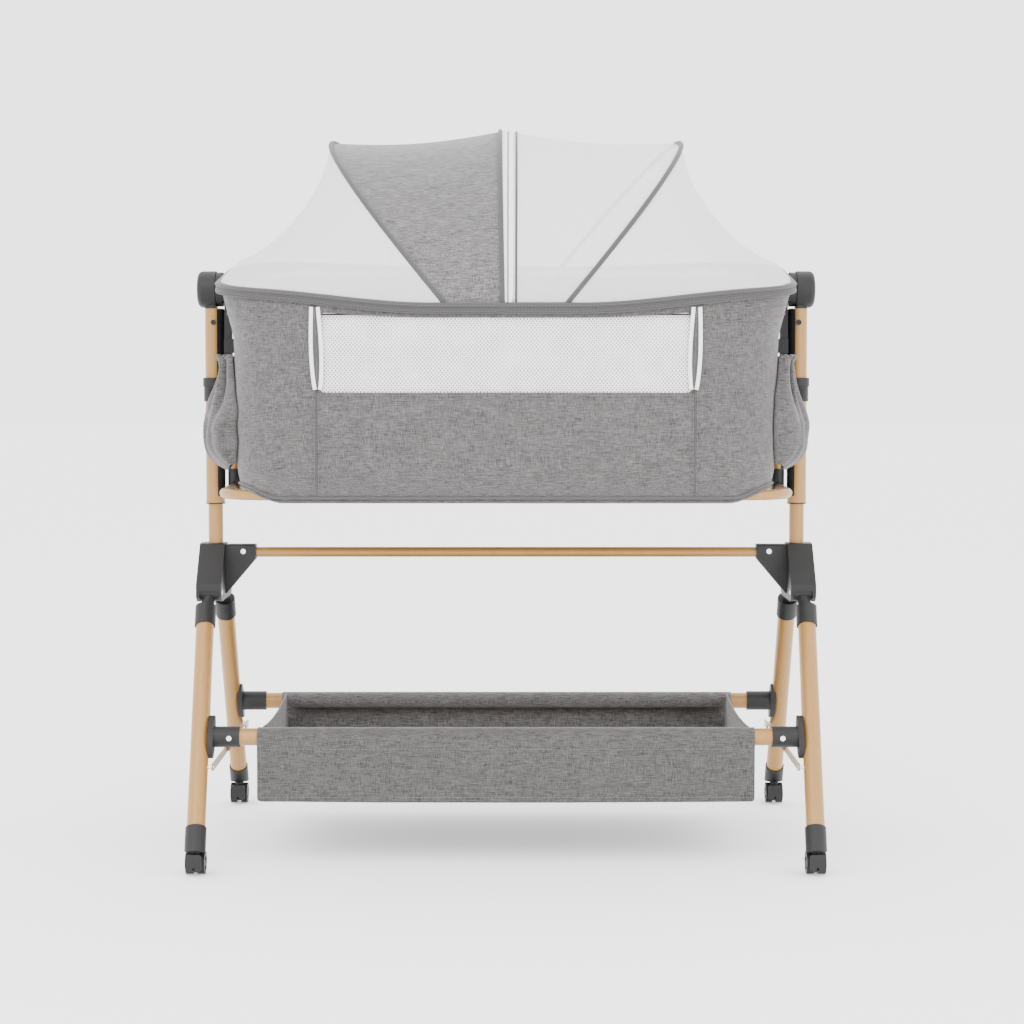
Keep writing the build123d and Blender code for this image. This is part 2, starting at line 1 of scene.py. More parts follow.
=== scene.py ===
"""Bedside bassinet on its stand: fabric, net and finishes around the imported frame. Metres, +Z up."""
import json
import math

import bpy
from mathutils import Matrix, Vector, noise


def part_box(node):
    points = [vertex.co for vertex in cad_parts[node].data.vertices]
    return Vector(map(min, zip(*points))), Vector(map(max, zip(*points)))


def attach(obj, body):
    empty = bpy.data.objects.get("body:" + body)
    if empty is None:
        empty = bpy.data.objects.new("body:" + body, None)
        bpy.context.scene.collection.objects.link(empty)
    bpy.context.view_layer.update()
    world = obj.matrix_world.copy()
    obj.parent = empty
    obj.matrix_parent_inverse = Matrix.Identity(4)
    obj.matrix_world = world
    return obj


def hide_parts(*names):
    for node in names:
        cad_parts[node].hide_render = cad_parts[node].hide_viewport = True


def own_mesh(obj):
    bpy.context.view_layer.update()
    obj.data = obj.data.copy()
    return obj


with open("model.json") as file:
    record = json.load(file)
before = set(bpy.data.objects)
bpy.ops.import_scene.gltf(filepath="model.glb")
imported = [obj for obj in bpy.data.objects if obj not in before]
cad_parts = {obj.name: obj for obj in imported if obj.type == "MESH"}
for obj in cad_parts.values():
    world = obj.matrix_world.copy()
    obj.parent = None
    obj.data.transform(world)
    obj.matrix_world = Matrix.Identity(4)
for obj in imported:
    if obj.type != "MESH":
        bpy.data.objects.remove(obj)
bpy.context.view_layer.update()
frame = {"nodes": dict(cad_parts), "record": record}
SIDES = ((-1, "left"), (1, "right"))

# Fabric body: height, half length, half width, corner radius, as in the CAD tub
TUB = [
    (0.590, 0.412, 0.246, 0.066),
    (0.600, 0.427, 0.252, 0.076),
    (0.618, 0.435, 0.257, 0.084),
    (0.640, 0.440, 0.262, 0.088),
    (0.860, 0.445, 0.264, 0.090),
    (0.950, 0.470, 0.266, 0.100),
    (1.005, 0.470, 0.266, 0.100),
]
WALL_Z = 0.76
FRONT_WALL_Y = -0.264
RIM_MID_Z = 0.944
RIM_SLOPE = 0.147
RIM_END_RISE = 0.024
BODY_BOTTOM = 0.590
END_BOTTOM = 0.6115
WINDOW_HALF = 0.298
WINDOW_LOW, WINDOW_HIGH = 0.766, 0.886
WINDOW_HEM = 0.004

# Canopy arches: base X, top X, top Z, half width at the base
ARCH_SIDE = (-0.096, -0.296, 1.184, 0.263)
ARCH_CENTRE = (-0.005, -0.010, 1.204, 0.263)
ARCH_TEETH = (0.0035, 0.0035, 1.2036, 0.263)
ARCH_ZIP_EDGE = (0.0115, 0.012, 1.2034, 0.263)
ARCH_TRIM = (0.0165, 0.0175, 1.2032, 0.263)

# Middle line of the net from the end of the rim up to the side hoop, as X and Z
HOLLOW = [
    (-0.470, 0.972), (-0.459, 0.982), (-0.438, 0.990), (-0.404, 1.010), (-0.372, 1.039),
    (-0.345, 1.071), (-0.322, 1.106), (-0.306, 1.143), (-0.296, 1.184),
]
NET_FOOT_X = -0.4680


# ------------------------------------------------------------------ node helpers
class Shader:
    """A material whose nodes are added one call at a time."""

    def __init__(self, name, colour, roughness, metallic=0.0, alpha=1.0, sheen=0.0, coat=0.0):
        self.material = bpy.data.materials.new(name)
        self.material.use_nodes = True
        self.tree = self.material.node_tree
        self.surface = self.tree.nodes["Principled BSDF"]
        for socket, value in (("Roughness", roughness), ("Metallic", metallic), ("Alpha", alpha),
                              ("Sheen Weight", sheen), ("Coat Weight", coat)):
            self.surface.inputs[socket].default_value = value
        self.surface.inputs["Base Color"].default_value = (*colour, 1)
        self.colour = colour
        self.place = self.add("ShaderNodeTexCoord").outputs["Object"]

    def add(self, kind, inputs=(), **settings):
        node = self.tree.nodes.new(kind)
        for key, value in settings.items():
            setattr(node, key, value)
        for key, value in dict(inputs).items():
            if isinstance(value, bpy.types.NodeSocket):
                self.tree.links.new(value, node.inputs[key])
            else:
                node.inputs[key].default_value = value
        return node

    def scaled(self, x, y, z):
        return self.add("ShaderNodeMapping", {"Vector": self.place, "Scale": (x, y, z)}).outputs["Vector"]

    def noise(self, scale=(1, 1, 1), detail=2.0, rough=0.5):
        return self.add("ShaderNodeTexNoise", {"Vector": self.scaled(*scale), "Scale": 1.0, "Detail": detail,
                                               "Roughness": rough}).outputs["Fac"]

    def math(self, operation, a, b=0.0):
        return self.add("ShaderNodeMath", {0: a, 1: b}, operation=operation).outputs[0]

    def ramp(self, value, stops):
        node = self.add("ShaderNodeValToRGB", {"Fac": value})
        for index, (position, colour) in enumerate(stops):
            stop = node.color_ramp.elements[index] if index < 2 else node.color_ramp.elements.new(position)
            stop.position = position
            stop.color = (*colour, 1)
        return node.outputs["Color"]

    def paint(self, colour):
        self.tree.links.new(colour, self.surface.inputs["Base Color"])

    def shades(self, value, spread, low=0.3, high=0.7):
        dark = tuple(c * (1 - spread) for c in self.colour)
        light = tuple(min(1, c * (1 + spread)) for c in self.colour)
        self.paint(self.ramp(value, [(low, dark), (high, light)]))

    def bump(self, value, strength, distance):
        node = self.add("ShaderNodeBump", {"Height": value, "Strength": strength, "Distance": distance})
        self.tree.links.new(node.outputs["Normal"], self.surface.inputs["Normal"])


def linen(name, colour, spread=0.8, level=False):
    """Melange linen: uneven threads both ways, with slubs. level is for cloth that lies flat."""
    s = Shader(name, colour, 0.93, sheen=0.25)
    across = s.noise((75, 1500, 75) if level else (75, 75, 1500), 3)
    upright = s.noise((1500, 110, 110) if level else (1500, 1500, 110), 3)
    cloud = s.noise((60, 60, 60), 3)
    threads = s.math("ADD", s.math("MULTIPLY", across, 0.5), s.math("MULTIPLY", upright, 0.5))
    mixed = s.math("ADD", s.math("MULTIPLY", threads, 0.93), s.math("MULTIPLY", cloud, 0.07))
    s.shades(mixed, spread, 0.38, 0.62)
    s.bump(threads, 0.5, 0.0012)
    return s.material


def net(name, colour, alpha):
    s = Shader(name, colour, 0.8, alpha=alpha, sheen=0.3)
    grain = s.math("MULTIPLY", s.noise((700, 700, 90), 1), s.noise((90, 90, 700), 1))
    s.shades(grain, 0.06, 0.1, 0.4)
    s.bump(grain, 0.3, 0.0006)
    return s.material


def window_mesh_material():
    """White spacer mesh with staggered rows of dimples, each darkened with painted shade."""
    s = Shader("window_mesh_white", (0.86, 0.86, 0.87), 0.75)
    split = s.add("ShaderNodeSeparateXYZ", {"Vector": s.place})
    x, z = split.outputs["X"], split.outputs["Z"]
    pitch, flatness, roundness = 0.0058, 0.85, 1.6
    phase_x = s.math("MULTIPLY", x, math.pi / pitch)
    phase_z = s.math("MULTIPLY", z, math.pi / pitch * flatness)
    falling, rising = [
        s.math("POWER", s.math("ABSOLUTE", s.math("SINE", s.math(way, phase_x, phase_z))), roundness)
        for way in ("ADD", "SUBTRACT")
    ]
    dimples_and_shade = s.math("MULTIPLY", falling, rising)
    painted_dimple_shade = s.math("MULTIPLY", dimples_and_shade, s.math("ADD", s.noise((26, 26, 26), 2), 0.45))
    # Painted shade: the dimples are coloured dark grey, a little unevenly, as if in shadow.
    s.paint(s.ramp(painted_dimple_shade, [(0.18, (0.86, 0.86, 0.87)), (0.62, (0.16, 0.16, 0.17))]))
    s.bump(dimples_and_shade, -0.7, 0.0012)
    return s.material


def plastic(name, colour, roughness=0.5):
    s = Shader(name, colour, roughness)
    s.surface.inputs["Specular IOR Level"].default_value = 0.3
    grain = s.noise((1500, 1500, 1500), 2)
    s.shades(s.noise((30, 30, 30), 3), 0.14)
    s.bump(grain, 0.18, 0.0004)
    return s.material


def lacquer(name, colour):
    """Sand-gold lacquer over steel tube, faintly streaked along its length."""
    s = Shader(name, colour, 0.36, metallic=0.15, coat=0.25)
    s.surface.inputs["Coat Roughness"].default_value = 0.3
    streaks = s.noise((260, 260, 7), 3)
    s.shades(streaks, 0.07)
    s.bump(s.noise((900, 900, 900), 2), 0.08, 0.0003)
    return s.material


def metal(name, colour, roughness):
    s = Shader(name, colour, roughness, metallic=1.0)
    s.shades(s.noise((400, 400, 400), 2), 0.08)
    return s.material


def cloth_plain(name, colour):
    s = Shader(name, colour, 0.85, sheen=0.2)
    weave = s.math("MULTIPLY", s.noise((1200, 1200, 200), 1), s.noise((200, 200, 1200), 1))
    s.shades(weave, 0.1, 0.1, 0.4)
    s.bump(weave, 0.3, 0.0006)
    return s.material


LINEN = linen("linen_grey", (0.077, 0.0725, 0.072))
LINEN_BASKET = linen("linen_basket", (0.060, 0.0555, 0.055))
# Lighter copies of the basket linen for the rear panel, end walls and floor: painted light that lifts the
# shade inside the basket.
LINEN_BASKET_PAINTED_LIGHT = linen("linen_basket_painted_light", (0.105, 0.099, 0.098))
LINEN_FLOOR_PAINTED_LIGHT = linen("linen_basket_floor_painted_light", (0.105, 0.099, 0.098), level=True)
LINEN_SHADE = linen("linen_shade", (0.118, 0.113, 0.113))
TRIM_GREY = cloth_plain("trim_grey", (0.060, 0.058, 0.058))
HEM_GREY = cloth_plain("hem_grey", (0.056, 0.054, 0.054))
NET_WHITE = net("net_white", (0.84, 0.84, 0.86), 0.68)
WHITE_TAPE = cloth_plain("white_tape", (0.86, 0.86, 0.87))
WINDOW = window_mesh_material()
BLACK = plastic("plastic_black", (0.013, 0.0125, 0.0125))
WHEEL = plastic("wheel_black", (0.010, 0.010, 0.011), 0.42)
GOLD = lacquer("lacquer_gold", (0.325, 0.168, 0.038))
CHROME = metal("chrome_screws", (0.82, 0.82, 0.84), 0.12)
STEEL = metal("steel_plain", (0.5, 0.5, 0.52), 0.32)
BOARD = plastic("board_grey", (0.16, 0.155, 0.15), 0.7)
COVER = cloth_plain("mattress_cover", (0.55, 0.545, 0.54))
THREAD = cloth_plain("thread_grey", (0.125, 0.120, 0.120))

SLOT_MATERIALS = {
    "black_plastic": BLACK, "gold_tube": GOLD, "chrome": CHROME, "steel": STEEL, "grey_linen": LINEN,
    "white_mesh": WINDOW, "white_net": NET_WHITE, "zip_tape": WHITE_TAPE, "wheel_black": WHEEL,
    "board": BOARD, "mattress_cover": COVER,
}


def finish_cad_nodes():
    for entry in frame["record"]["subparts"]:
        materials = frame["nodes"][entry["node"]].data.materials
        materials.clear()
        materials.append(SLOT_MATERIALS[entry["material_slot"]])


# ------------------------------------------------------------------ mesh helpers
def mesh_piece(name, points, faces, material, body, smooth=True):
    data = bpy.data.meshes.new(name)
    data.from_pydata([tuple(p) for p in points], [], faces)
    data.update()
    data.materials.append(material)
    for face in data.polygons:
        face.use_smooth = smooth
    piece = bpy.data.objects.new(name, data)
    bpy.context.scene.collection.objects.link(piece)
    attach(piece, body)
    return piece


def grid_faces(rows, columns, closed=False, skip=()):
    """Quads of a grid whose points run row by row. skip holds (row, column) cells left open."""
    faces = []
    last = columns if closed else columns - 1
    for r in range(rows - 1):
        for c in range(last):
            if (r, c) not in skip:
                here, above = r * columns, (r + 1) * columns
                after = (c + 1) % columns
                faces.append((here + c, here + after, above + after, above + c))
    return faces


def thicken(piece, thickness, levels=0, offset=-1.0):
    if levels:
        smooth = piece.modifiers.new("smooth", "SUBSURF")
        smooth.levels = smooth.render_levels = levels
    shell = piece.modifiers.new("thickness", "SOLIDIFY")
    shell.thickness = thickness
    shell.offset = offset


def tube_points(path, radius, sides, closed=False):
    """Rings round a path, kept untwisted."""
    count = len(path)
    points = []
    side = None
    for i, p in enumerate(path):
        before = path[i - 1] if i or closed else p
        after = path[(i + 1) % count] if i < count - 1 or closed else p
        along = (after - before).normalized()
        if side is None:
            side = along.orthogonal().normalized()
        side = (side - along * side.dot(along)).normalized()
        up = along.cross(side)
        for k in range(sides):
            turn = 2 * math.pi * k / sides
            points.append(p + side * (math.cos(turn) * radius) + up * (math.sin(turn) * radius))
    return points


def tube(name, path, radius, material, body, sides=8, closed=False):
    path = [Vector(p) for p in path]
    points = tube_points(path, radius, sides, closed)
    rings = len(path)
    faces = [
        (r * sides + k, r * sides + (k + 1) % sides,
         (r + 1) % rings * sides + (k + 1) % sides, (r + 1) % rings * sides + k)
        for r in range(rings if closed else rings - 1) for k in range(sides)
    ]
    if not closed:
        faces.append(tuple(reversed(range(sides))))
        faces.append(tuple(range((rings - 1) * sides, rings * sides)))
    return mesh_piece(name, points, faces, material, body)


def point_along(path, distance):
    """Point at a distance along a path of straight steps."""
    for a, b in zip(path, path[1:]):
        step = (b - a).length
        if distance <= step:
            return a.lerp(b, distance / max(step, 1e-9))
        distance -= step
    return path[-1].copy()


def stitches(name, paths, material, body, length=0.0042, gap=0.0022, radius=0.00055):
    """Rows of short raised stitches along the given paths, each a four-sided bar."""
    points, faces = [], []
    for path in paths:
        total = sum((b - a).length for a, b in zip(path, path[1:]))
        at = gap
        while at + length < total:
            near = len(points)
            far = near + 4
            points += tube_points([point_along(path, at), point_along(path, at + length)], radius, 4)
            faces += [(near + k, near + (k + 1) % 4, far + (k + 1) % 4, far + k) for k in range(4)]
            faces += [(near + 3, near + 2, near + 1, near), (far, far + 1, far + 2, far + 3)]
            at += length + gap
    return mesh_piece(name, points, faces, material, body, smooth=False)


def smoothstep(low, high, value):
    t = min(max((value - low) / (high - low), 0.0), 1.0)
    return t * t * (3 - 2 * t)


# ------------------------------------------------------------------ fabric body
# Columns of the body's grid along an end, round a corner and across the window, and half of the last
END_COLUMNS, CORNER_COLUMNS, WINDOW_COLUMNS = 18, 12, 48
HALF_WINDOW = WINDOW_COLUMNS // 2

# How far past the window the next column stands, and how far stitches stand out from the wall
SLIT_COLUMN = 0.006
SEAM_OUT = 0.0022


def tub_section(z):
    """Half length, half width and corner radius at a height, eased between the tub's sections."""
    for low, high in zip(TUB, TUB[1:]):
        if z <= high[0]:
            t = max((z - low[0]) / (high[0] - low[0]), 0.0)
            return [a + (b - a) * t for a, b in zip(low[1:], high[1:])]
    return list(TUB[-1][1:])


def perimeter(half_length, half_width, corner):
    """Closed outline from the middle of the front, anticlockwise, with the same columns at every height."""
    straight = half_length - corner
    slit = WINDOW_HALF + SLIT_COLUMN
    stops = [WINDOW_HALF * k / HALF_WINDOW for k in range(HALF_WINDOW + 1)]
    stops += [slit, (slit + straight) / 2]
    quarter = [(x, -half_width) for x in stops]
    for k in range(CORNER_COLUMNS):
        turn = math.pi / 2 * k / CORNER_COLUMNS
        quarter.append((straight + corner * math.sin(turn), -half_width + corner * (1 - math.cos(turn))))
    depth = half_width - corner
    half_end = END_COLUMNS // 2
    quarter += [(half_length, -depth + depth * k / half_end) for k in range(half_end)]
    right = quarter + [(half_length, 0.0)] + [(x, -y) for x, y in reversed(quarter)]
    left = [(-x, y) for x, y in reversed(right[1:-1])]
    return right + left


COLUMNS = len(perimeter(*TUB[-1][1:]))


def rim_z(y, x=0.0):
    """Height of the rim: a plane tilted up to the rear, with the long front edge dipping in its middle."""
    towards_end = smoothstep(0.12, 0.44, abs(x))
    towards_rear = smoothstep(0.0, 0.25, y)
    return RIM_MID_Z + RIM_SLOPE * y + RIM_END_RISE * towards_end * (1 - 0.6 * towards_rear)


def body_ring(share, grow=0.0):
    """Points round the body at a share of its height, from the bottom edge to the sloping rim."""
    ring = []
    for c, (x, y) in enumerate(perimeter(*tub_section(WALL_Z))):
        end = smoothstep(0.375, 0.44, abs(x))
        low = BODY_BOTTOM + (END_BOTTOM - BODY_BOTTOM) * end
        z = low + (rim_z(y) - low) * share + (rim_z(y, x) - rim_z(y)) * smoothstep(0.86, 1.0, share)
        half_length, half_width, corner = tub_section(z)
        x, y = perimeter(half_length + grow, half_width + grow, corner + grow)[c]
        ring.append(Vector((x, y, z)))
    return ring


def window_share(z):
    """Share of the front wall's height at which a height lies."""
    return (z - BODY_BOTTOM) / (rim_z(FRONT_WALL_Y) - BODY_BOTTOM)


def outward(x, y):
    """Level unit vector out of the body near a point of its wall."""
    half_length, half_width, corner = tub_section(WALL_Z)
    dx = math.copysign(max(abs(x) - (half_length - corner), 0), x)
    dy = math.copysign(max(abs(y) - (half_width - corner), 0), y)
    return Vector((dx, dy, 0)).normalized()


def soften(p):
    """Slight unevenness of stretched cloth."""
    strength = 0.0016
    wave = noise.noise(Vector((p.x * 9, p.y * 9, p.z * 14)))
    ripple = noise.noise(Vector((p.x * 30, p.y * 30, p.z * 6 + 4)))
    return outward(p.x, p.y) * (wave * strength + ripple * strength * 0.35)


def make_body():
    low, high = window_share(WINDOW_LOW), window_share(WINDOW_HIGH)
    shares = [0.0, 0.02, 0.045, 0.075, 0.11, 0.16]
    shares += [0.16 + (low - 0.16) * k / 10 for k in range(1, 11)]
    first_open = len(shares) - 1
    shares += [low + (high - low) * k / 9 for k in range(1, 10)]
    last_open = len(shares) - 1
    shares += [high + (1 - high) * k / 4 for k in range(1, 5)]
    points = []
    for share in shares:
        for p in body_ring(share):
            points.append(p + soften(p) * smoothstep(0.02, 0.2, share))
    open_columns = list(range(HALF_WINDOW)) + list(range(COLUMNS - HALF_WINDOW, COLUMNS))
    skip = {(r, c) for r in range(first_open, last_open) for c in open_columns}
    faces = grid_faces(len(shares), COLUMNS, True, skip)
    body = mesh_piece("fabric_body", points, faces, LINEN, "bassinet")
    thicken(body, 0.003, 1)
    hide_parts("body_shell")

    centre = Vector((0, 0, END_BOTTOM))
    floor_ring = [Vector((p.x, p.y, END_BOTTOM)) for p in body_ring(0.07, -0.006)]
    floor_points = [p.lerp(centre, t) for t in (0, 0.3, 0.6, 0.9) for p in floor_ring]
    floor_points.append(centre)
    middle = len(floor_points) - 1
    faces = grid_faces(4, COLUMNS, True)
    faces += [(3 * COLUMNS + c, 3 * COLUMNS + (c + 1) % COLUMNS, middle) for c in range(COLUMNS)]
    floor = mesh_piece("fabric_floor", floor_points, faces, LINEN, "bassinet")
    thicken(floor, 0.002)


def front_y(z, out=0.0):
    return -tub_section(z)[1] - out


def make_window():
    columns, rows = 41, 11
    points = []
    for r in range(rows):
        v = r / (rows - 1)
        z = WINDOW_LOW - WINDOW_HEM + (WINDOW_HIGH - WINDOW_LOW + 2 * WINDOW_HEM) * v
        for c in range(columns):
            u = c / (columns - 1)
            x = -WINDOW_HALF - WINDOW_HEM + (2 * WINDOW_HALF + 2 * WINDOW_HEM) * u
            belly = 0.002 * math.sin(math.pi * u) * math.sin(math.pi * v)
            points.append((x, front_y(z, -0.0016) + belly, z))
    faces = grid_faces(rows, columns)
    mesh = mesh_piece("window_mesh_cloth", points, faces, WINDOW, "bassinet")
    thicken(mesh, 0.0012)
    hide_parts("window_mesh")


def slit_edge(side, way):
    """One edge of a lens-shaped slit that leans out a little towards its top. way is -1 or 1."""
    low, high = 0.771, 0.903
    middle, lean = 0.3030, 0.0042
    steps = 24
    edge = []
    for k in range(steps + 1):
        v = k / steps
        z = low + (high - low) * v
        spread = 0.0040 + 0.0036 * math.sin(math.pi * v ** 0.8) + 0.0012 * v
        x = side * (middle + lean * (v - 0.5)) + way * spread
        edge.append(Vector((x, front_y(z, 0.0030), z)))
    return edge


def make_zip_slits():
    """White-bound openings at both ends of the window, with the zip showing between their edges."""
    for side, label in SIDES:
        edges = [slit_edge(side, way) for way in (-1, 1)]
        for way, edge in zip((-1, 1), edges):
            place = "outer" if way == side else "inner"
            tube(f"slit_{place}_{label}", edge, 0.0033, WHITE_TAPE, "bassinet", sides=10)
        points = [p + Vector((0, 0.0008, 0)) for p in edges[0] + edges[1]]
        faces = grid_faces(2, len(edges[0]))
        gap = mesh_piece(f"slit_gap_{label}", points, faces, TRIM_GREY, "bassinet")
        thicken(gap, 0.0010)
        zip_line = [a.lerp(b, 0.5) + Vector((0, -0.0004, 0)) for a, b in zip(*edges)]
        tube(f"slit_zip_{label}", zip_line[3:], 0.0010, LINEN, "bassinet", sides=6)


def front_line(x, low, high, out):
    """Upright line on the front wall."""
    heights = [low + (high - low) * k / 20 for k in range(21)]
    return [Vector((x, front_y(z, out), z)) for z in heights]


def make_seams():
    piping = [p + outward(p.x, p.y) * 0.001 for p in body_ring(0.022, 0.0005)]
    tube("bottom_piping", piping, 0.0022, TRIM_GREY, "bassinet", closed=True)
    edge = body_ring(0.002, 0.0008)
    tube("bottom_binding", edge, 0.0028, LINEN, "bassinet", closed=True)
    rows = []
    for side, label in SIDES:
        rows += [front_line(side * x, 0.604, 0.764, SEAM_OUT) for x in (0.3005, 0.3065)]
        seam = front_line(side * 0.3035, 0.602, 0.770, 0.0008)
        tube(f"window_seam_{label}", seam, 0.0013, TRIM_GREY, "bassinet", sides=6)
    for z, hem in ((WINDOW_LOW, -WINDOW_HEM), (WINDOW_HIGH, WINDOW_HEM)):
        rows.append([Vector((k / 40 * WINDOW_HALF, front_y(z, SEAM_OUT), z + hem)) for k in range(-40, 41)])
    for share in (0.905, 0.935):
        ring = [p + soften(p) + outward(p.x, p.y) * 0.0012 for p in body_ring(share)]
        start = HALF_WINDOW + 2
        rows.append(ring[start:COLUMNS - start])
    stitches("body_stitches", rows, THREAD, "bassinet")


def inflate(pad, low, high):
    """Swell the pad as pressurised cloth, kept inside its box and within a small travel."""
    voxel, travel = 0.008, 0.006
    pressure, steps = 4.0, 15
    margins = (0.0005, 0.0005, 0.0003)
    bpy.context.view_layer.objects.active = pad
    remesh = pad.modifiers.new("even", "REMESH")
    remesh.mode = "VOXEL"
    remesh.voxel_size = voxel
    bpy.ops.object.modifier_apply(modifier=remesh.name)
    start = [v.co.copy() for v in pad.data.vertices]
    cloth = pad.modifiers.new("cloth", "CLOTH")
    cloth.settings.use_pressure = True
    cloth.settings.uniform_pressure_force = pressure
    cloth.settings.effector_weights.gravity = 0.0
    for step in range(1, steps + 1):
        bpy.context.scene.frame_set(step)
    bpy.ops.object.modifier_apply(modifier=cloth.name)
    bpy.context.scene.frame_set(1)
    for vertex, home in zip(pad.data.vertices, start):
        moved = vertex.co - home
        if moved.length > travel:
            moved *= travel / moved.length
        vertex.co = home + moved
        for axis, margin in enumerate(margins):
            vertex.co[axis] = min(max(vertex.co[axis], low[axis] + margin), high[axis] - margin)
    for face in pad.data.polygons:
        face.use_smooth = True


def make_mattress():
    """Crowned mattress pad with rounded, pulled-in sides."""
    low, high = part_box("mattress")
    half_x, half_y = high.x - 0.004, high.y - 0.004
    middle_z = (low.z + high.z) / 2
    rows, columns = 30, 48
    top, under = [], []
    for r in range(rows + 1):
        for c in range(columns + 1):
            u, v = 2 * c / columns - 1, 2 * r / rows - 1
            reach = max(abs(u), abs(v))
            x = half_x * u * math.sqrt(1 - 0.10 * v ** 8)
            y = half_y * v * math.sqrt(1 - 0.10 * u ** 8)
            edge = 1 - reach ** 10
            crown = 0.5 * (high.z - low.z) * edge ** 0.35
            quilt = 0.0012 * math.cos(u * half_x * 55) * math.cos(v * half_y * 55)
            top.append((x, y, middle_z + crown + quilt * edge - 0.0012))
            under.append((x, y, middle_z - crown * 0.96 + 0.0004))
    count = len(top)
    faces = grid_faces(rows + 1, columns + 1)
    faces += [tuple(count + i for i in reversed(f)) for f in faces]
    width = columns + 1
    ring = list(range(columns)) + [r * width + columns for r in range(rows)]
    ring += [rows * width + c for c in range(columns, 0, -1)] + [r * width for r in range(rows, 0, -1)]
    for a, b in zip(ring, ring[1:] + ring[:1]):
        faces.append((b, a, count + a, count + b))
    pad = mesh_piece("mattress_pad", top + under, faces, COVER, "bassinet")
    inflate(pad, low, high)
    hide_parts("mattress")


# ------------------------------------------------------------------ pockets
def end_wall(y, z):
    """How far out the body's end wall stands at a depth and height."""
    half_length, half_width, corner = tub_section(z)
    past = max(abs(y) - (half_width - corner), 0.0)
    return half_length - corner + math.sqrt(max(corner * corner - past * past, 0.0))


def make_pocket(side, label):
    """Gathered pocket: full at the bottom, drawn in by an elastic edge with a ruffle above it."""
    columns, rows, elastic_row = 96, 34, 30
    middle_y, furthest_x = -0.143, 0.4965
    bottom_z, height = 0.652, 0.172
    points = []
    for r in range(rows + 1):
        v = r / rows
        z = bottom_z + height * v
        bottom = math.sin(math.pi / 2 * min(v / 0.20, 1.0)) ** 0.7
        neck = smoothstep(0.30, 0.93, v)
        mouth = smoothstep(0.95, 1.0, v)
        depth = 0.018 + 0.0325 * bottom - 0.0290 * neck + 0.004 * mouth
        half = 0.058 + 0.012 * bottom - 0.017 * neck + 0.002 * mouth
        for c in range(columns + 1):
            t = c / columns
            turn = math.pi * t
            puff = abs(math.sin(turn)) ** 0.40
            depth_of_fold = 0.0026 + 0.0048 * math.exp(-((v - 0.78) / 0.26) ** 2)
            drift = 1.6 * noise.noise(Vector((t * 4, v * 2.2, 7 + side)))
            fine, broad = math.sin(t * 40 + drift * 3), math.sin(t * 19 + 3 * v + drift * 3)
            folds = depth_of_fold * (0.75 * fine + 0.8 * broad)
            folds += 0.0040 * noise.noise(Vector((t * 7, v * 4, side))) * (1 - 0.7 * neck)
            y = middle_y - math.cos(turn) * (half + 1.3 * folds * (1 - puff * puff * 0.5))
            x = end_wall(y, z) + 0.0025 + (depth + folds) * puff
            drop = 0.012 * math.sin(turn) * (1 - v) ** 2
            ruffle = 0.0022 * math.sin(t * 70 + drift * 2) * smoothstep(0.93, 1.0, v)
            points.append(Vector((side * min(x, furthest_x), y, z - drop + ruffle)))
    faces = grid_faces(rows + 1, columns + 1)
    pocket = mesh_piece(f"pocket_{label}", points, faces, LINEN, "bassinet")
    thicken(pocket, 0.0016, 1, offset=0.0)
    width = columns + 1
    under, rim = points[:width], points[-width:]
    tube(f"pocket_edge_{label}", rim, 0.0021, LINEN, "bassinet", sides=6)
    tube(f"pocket_bottom_{label}", under, 0.0018, LINEN, "bassinet", sides=6)
    outside = Vector((side * 0.0012, 0, 0))
    elastic = [p + outside for p in points[elastic_row * width:(elastic_row + 1) * width]]
    stitches(f"pocket_stitches_{label}", [elastic], THREAD, "bassinet")
    return pocket


# ------------------------------------------------------------------ canopy
def mirrored(arch):
    return (-arch[0], -arch[1], arch[2], arch[3])


def rim_half(x):
    """Half width of the rim's outline at a distance along the body."""
    half_length, half_width, corner = TUB[-1][1:]
    past = max(abs(x) - (half_length - corner), 0.0)
    return half_width - corner + math.sqrt(max(corner * corner - past * past, 0.0))


def arch_point(arch, t, grow=0.0):
    """Point on an arch, t from 0 at the front foot to 1 at the rear foot."""
    base_x, top_x, top_z, half = arch
    across = -math.cos(math.pi * t)
    up = math.sin(math.pi * t) ** 0.80
    y = (half + grow) * math.copysign(abs(across) ** 0.93, across)
    rise = (top_z + grow - rim_z(0, base_x)) * up
    x = base_x + (top_x - base_x) * up
    return Vector((x, y, rim_z(y, base_x) + rise + 0.001))


def blend_arch(a, b, t, sag):
    """Arch between two others, drawn in by sag at its top."""
    mixed = [p + (q - p) * t for p, q in zip(a, b)]
    mixed[2] -= sag * math.sin(math.pi * t)
    return tuple(mixed)


def end_arches(count):
    """Arches from the end of the rim to the side hoop, their tops on the stretched net's hollow curve."""
    arches = []
    for k in range(count + 1):
        t = k / count
        at = t * (len(HOLLOW) - 1)
        i = min(int(at), len(HOLLOW) - 2)
        (x0, z0), (x1, z1) = HOLLOW[i], HOLLOW[i + 1]
        share = at - i
        base_x = NET_FOOT_X + (ARCH_SIDE[0] - NET_FOOT_X) * t ** 1.15
        arches.append((base_x, x0 + (x1 - x0) * share, z0 + (z1 - z0) * share, rim_half(base_x) - 0.001))
    return arches


def canopy_sheet(name, arches, material, node, fold=0.0):
    """Cloth over a row of arches, with fold streaks from the end to the hoop's foot.

    fold is the streaks' strength.
    """
    columns = 56
    points = []
    rows = len(arches)
    for r, arch in enumerate(arches):
        along = r / (rows - 1)
        for c in range(columns + 1):
            t = c / columns
            p = arch_point(arch, t)
            if fold:
                pull = fold * math.sin(math.pi * along) * math.sin(math.pi * t) ** 0.4
                p.z += pull * 0.0035 * math.sin(t * 46 + along * 5)
                p.y -= pull * 0.0035 * math.sin(t * 31 + along * 9) * math.copysign(1, p.y)
            points.append(p)
    piece = mesh_piece(name, points, grid_faces(rows, columns + 1), material, "canopy")
    smooth = piece.modifiers.new("smooth", "SUBSURF")
    smooth.levels = smooth.render_levels = 1
    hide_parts(node)


